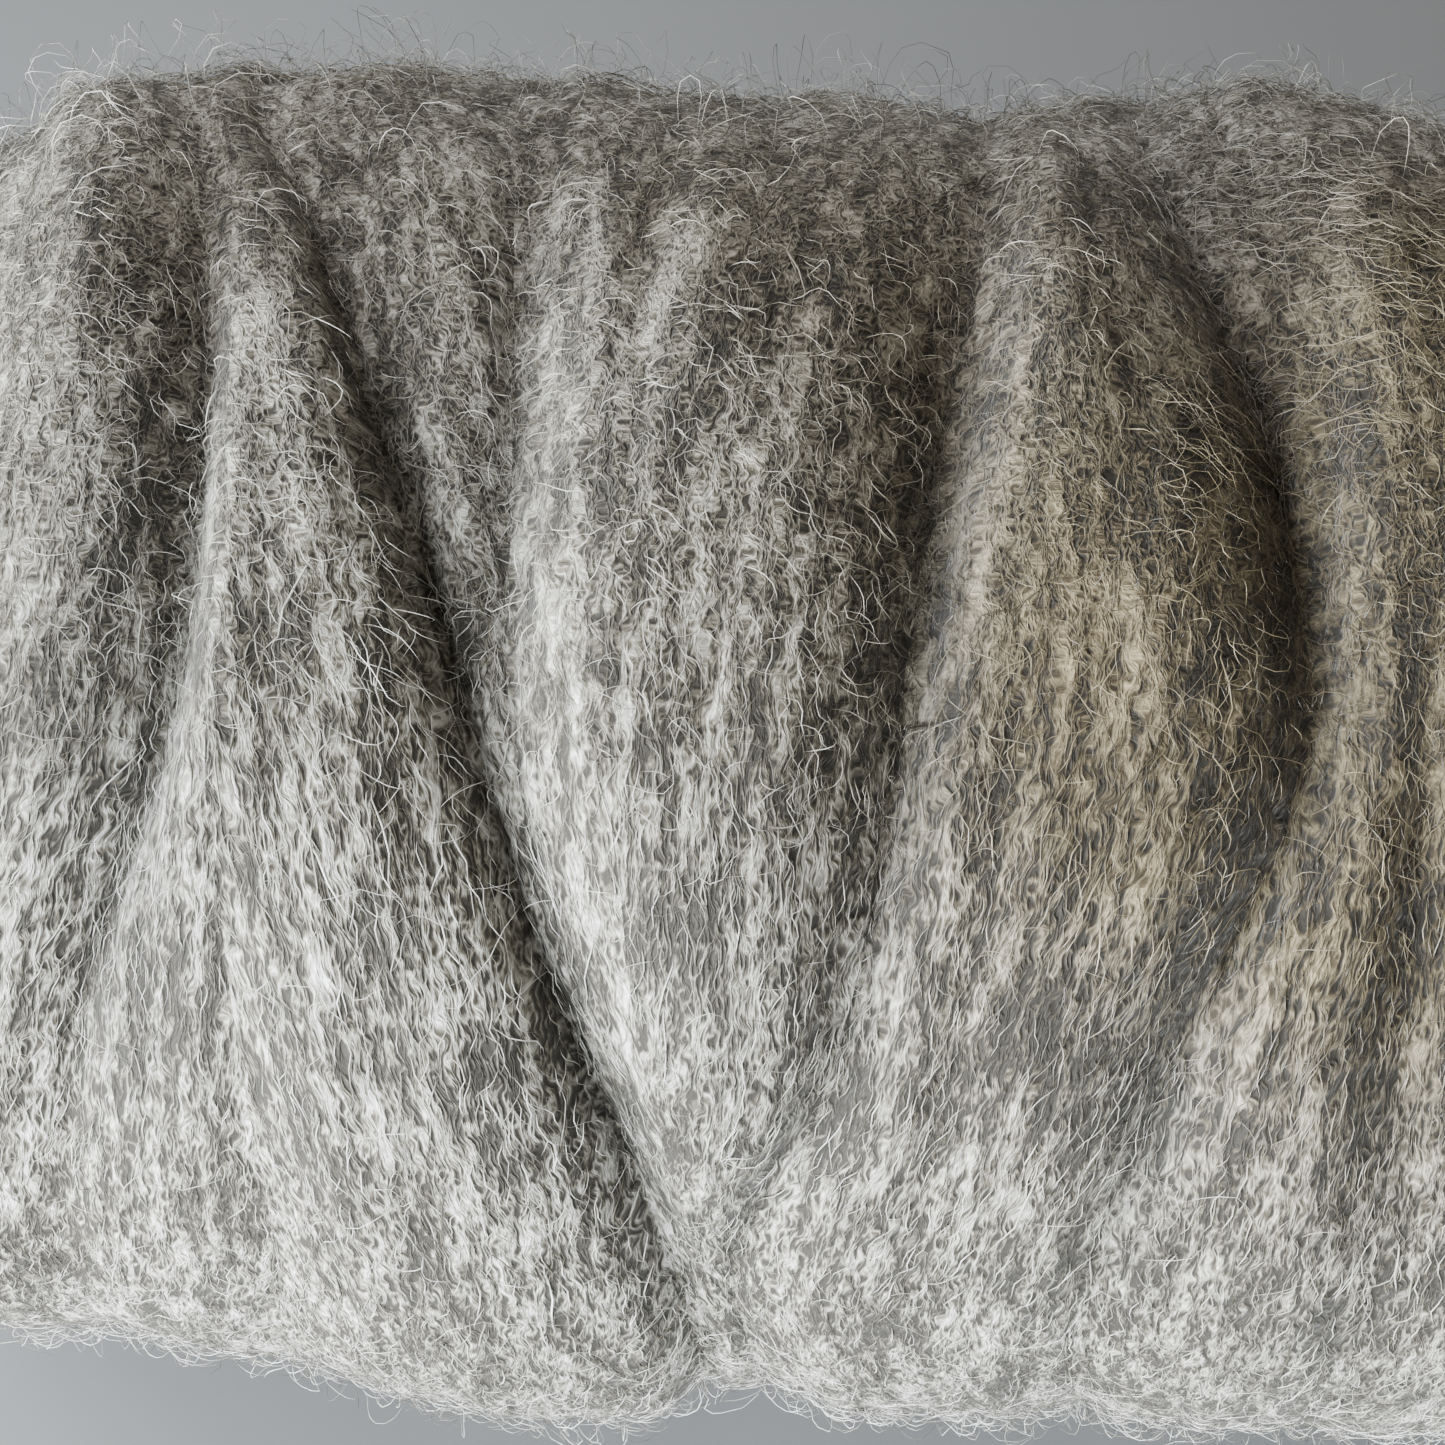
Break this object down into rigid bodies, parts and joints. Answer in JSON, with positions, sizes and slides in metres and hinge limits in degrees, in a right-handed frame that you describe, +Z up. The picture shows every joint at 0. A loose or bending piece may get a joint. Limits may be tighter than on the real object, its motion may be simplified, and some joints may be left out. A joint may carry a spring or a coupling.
{
  "type": "roll of alpaca roving",
  "caption": "Lying oval roll of undyed grey roving: one thick, soft, fuzzy strand wound round and round, its turns crossing at small angles, with a narrow flat underneath.",
  "frame": {"origin": "middle of the roll's footprint box, on the surface it lies on", "axes": "+X along the roll, which the turns go round, +Y to its back, +Z up"},
  "size_m": [0.18, 0.0966, 0.0864],
  "materials": {
    "roving": "undyed grey carded fibre, matt in the mass with a faint sheen on single fibres, fuzzy all over"
  },
  "bodies": {
    "root": {"roving_roll": "roving"}
  },
  "joints": []
}
